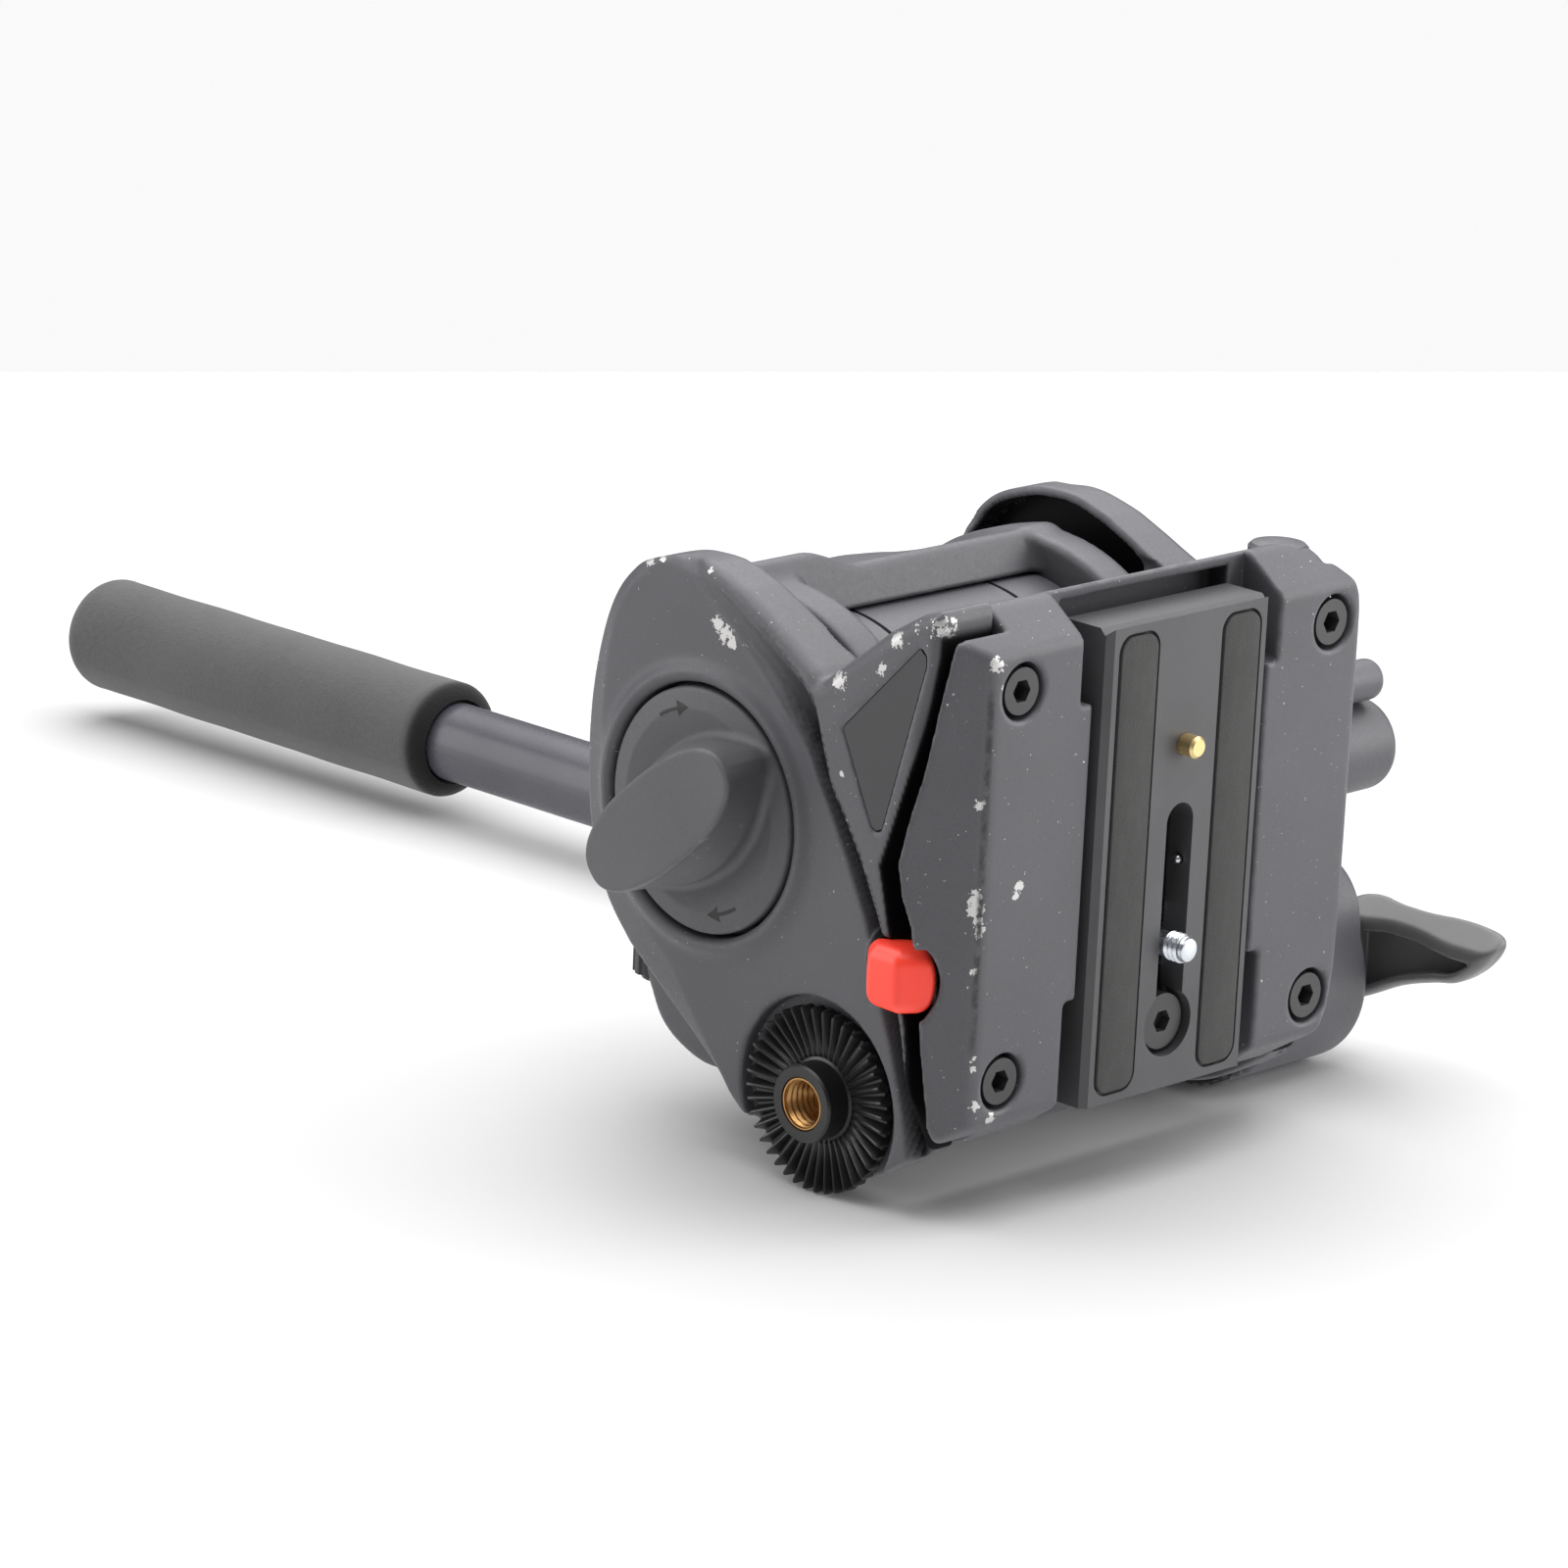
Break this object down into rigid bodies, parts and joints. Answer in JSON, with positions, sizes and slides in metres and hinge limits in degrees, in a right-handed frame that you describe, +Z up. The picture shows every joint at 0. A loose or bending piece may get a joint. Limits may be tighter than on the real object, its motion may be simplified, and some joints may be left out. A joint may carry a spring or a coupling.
{
  "type": "fluid video tripod head",
  "caption": "Fluid-drag tripod head with tilting yoke, sliding camera plate, tilt and plate locks, toothed rosettes and a clamped pan bar with foam grip.",
  "frame": {"origin": "centre of the base's underside, on the pan axis and at the mouth of the tripod thread", "axes": "+Z up along the pan axis, -Y to the front where the camera looks, +X to the side of the tilt lock knob; the pan bar is on -X"},
  "size_m": [0.1808, 0.138, 0.4632],
  "materials": {
    "cast_grey": "satin grey paint on a die casting",
    "anodised": "matte anodised",
    "black_plastic": "fine grain",
    "black_steel": "black oxide",
    "rubber": "ribbed matte",
    "foam": "matte foam",
    "steel": "machined",
    "brass": "machined",
    "red_plastic": "satin",
    "vial": "clear tinted"
  },
  "bodies": {
    "base": {"base_plate": "cast_grey", "tripod_insert": "brass", "pan_spindle": "steel", "pan_bearing": "steel", "pan_fluid_disc": "anodised", "spindle_nut": "steel"},
    "pan": {"pan_housing": "cast_grey", "pan_bush": "brass", "tilt_cartridge": "cast_grey", "tilt_axle": "steel", "counterbalance_spring": "steel", "level_body": "black_plastic", "level_vial": "vial", "housing_screws": "black_steel"},
    "pan_lock": {"pan_lock_stud": "steel", "pan_lock_knob": "black_plastic"},
    "tilt": {"left_cheek": "cast_grey", "right_cheek": "cast_grey", "platform": "cast_grey", "platform_screws": "black_steel", "cheek_bushes": "brass", "badge_plate": "black_plastic", "left_rosette": "black_plastic", "right_rosette": "black_plastic", "left_insert": "brass", "right_insert": "brass", "axle_cap": "cast_grey", "front_cap": "cast_grey", "tilt_brake_pad": "brass", "button_spring": "steel"},
    "tilt_lock": {"tilt_knob": "cast_grey", "knob_bush": "brass"},
    "button": {"release_button": "red_plastic"},
    "plate_lock": {"lock_lever": "cast_grey", "lock_screw": "steel"},
    "plate": {"sliding_plate": "anodised", "rubber_strips": "rubber", "stop_screw": "black_steel", "detent_ball": "steel", "pin_spring": "steel"},
    "screw_carrier": {"screw_slider": "steel"},
    "screw": {"camera_screw": "steel"},
    "pin": {"video_pin": "brass"},
    "pan_bar": {"bar_clamp": "cast_grey", "bar_tube": "cast_grey", "bar_grip": "foam", "bar_plug": "black_plastic"},
    "clamp_lever": {"wing_lever": "black_plastic", "wing_bolt": "steel"}
  },
  "joints": [
    {"name": "pan_turn", "type": "hinge", "parent": "base", "child": "pan", "pos_m": [0, 0, 0.01], "axis": [0, 0, 1], "continuous": true},
    {"name": "tilt_turn", "type": "hinge", "parent": "pan", "child": "tilt", "pos_m": [0, 0, 0.046], "axis": [1, 0, 0], "range_deg": [-60, 90]},
    {"name": "pan_lock_turn", "type": "hinge", "parent": "pan", "child": "pan_lock", "pos_m": [0.04, 0.04, 0.016], "axis": [0, 1, 0], "range_deg": [0, 180]},
    {"name": "tilt_lock_turn", "type": "hinge", "parent": "tilt", "child": "tilt_lock", "pos_m": [0.058, 0, 0.046], "axis": [1, 0, 0], "range_deg": [0, 150]},
    {"name": "button_press", "type": "slide", "parent": "tilt", "child": "button", "axis": [-0.7071, 0, -0.7071], "range_m": [0, 0.003], "stiffness_N_per_m": 400, "springref_m": -0.003, "deforming": ["button_spring"]},
    {"name": "plate_lock_turn", "type": "hinge", "parent": "tilt", "child": "plate_lock", "pos_m": [-0.07, -0.004, 0.103], "axis": [1, 0, 0], "range_deg": [0, 90]},
    {"name": "plate_slide", "type": "slide", "parent": "tilt", "child": "plate", "axis": [0, 1, 0], "range_m": [-0.02, 0.03]},
    {"name": "screw_carrier_slide", "type": "slide", "parent": "plate", "child": "screw_carrier", "axis": [0, 1, 0], "range_m": [-0.012, 0.004]},
    {"name": "camera_screw_turn", "type": "hinge", "parent": "screw_carrier", "child": "screw", "pos_m": [0, 0.0206, 0.125], "axis": [0, 0, 1], "continuous": true},
    {"name": "pin_press", "type": "slide", "parent": "plate", "child": "pin", "axis": [0, 0, -1], "range_m": [0, 0.0035], "stiffness_N_per_m": 300, "springref_m": -0.003, "deforming": ["pin_spring"]},
    {"name": "bar_swing", "type": "hinge", "parent": "tilt", "child": "pan_bar", "pos_m": [-0.08, 0.0545, 0.0832], "axis": [1, 0, 0], "range_deg": [-80, 120]},
    {"name": "clamp_lever_turn", "type": "hinge", "parent": "pan_bar", "child": "clamp_lever", "pos_m": [-0.1, 0.0545, 0.0832], "axis": [1, 0, 0], "range_deg": [0, 120]}
  ]
}
